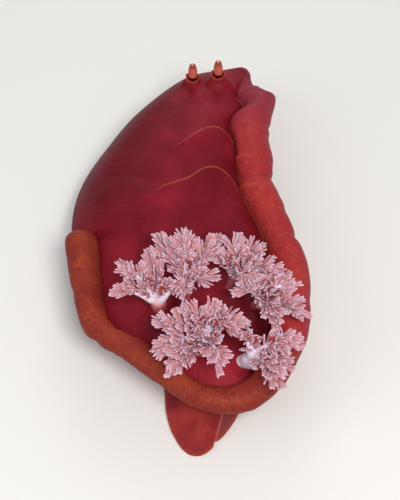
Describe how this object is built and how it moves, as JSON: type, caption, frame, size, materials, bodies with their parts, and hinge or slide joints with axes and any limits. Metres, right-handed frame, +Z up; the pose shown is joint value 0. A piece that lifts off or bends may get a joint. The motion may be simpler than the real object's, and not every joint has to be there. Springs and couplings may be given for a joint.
{
  "type": "spanish dancer nudibranch",
  "caption": "Life-size still model of a crawling spanish dancer sea slug, mantle edge rolled up over its back, gill crown spread at the rear.",
  "frame": {"origin": "on the floor under the middle of the flat sole of the foot", "axes": "+Z up, +Y towards the head along the body, +X to the animal's right"},
  "size_m": [0.1459, 0.2571, 0.0694],
  "materials": {
    "mantle": "moist crimson skin with paler lines",
    "mantle_edge": "moist orange-red skin with a net of orange lines",
    "foot": "moist red skin with an orange rim",
    "gill": "soft translucent pink and lilac",
    "rhinophore": "moist orange-red, ringed"
  },
  "bodies": {
    "root": {"foot": "foot", "tail": "foot", "body": "foot", "head": "foot", "oral_tentacle_left": "foot", "oral_tentacle_right": "foot", "mantle_back_front": "mantle", "mantle_back_middle": "mantle", "mantle_back_rear": "mantle", "mantle_edge_front": "mantle_edge", "mantle_edge_right_front": "mantle_edge", "mantle_edge_right": "mantle_edge", "mantle_edge_right_rear": "mantle_edge", "mantle_edge_rear": "mantle_edge", "mantle_edge_left_rear": "mantle_edge", "mantle_edge_left": "mantle_edge", "mantle_edge_left_front": "mantle_edge", "rhinophore_left": "rhinophore", "rhinophore_right": "rhinophore", "rhinophore_sheath_left": "mantle_edge", "rhinophore_sheath_right": "mantle_edge", "gill_1": "gill", "gill_2": "gill", "gill_3": "gill", "gill_4": "gill", "gill_5": "gill", "gill_6": "gill", "anal_papilla": "mantle_edge"}
  },
  "joints": []
}
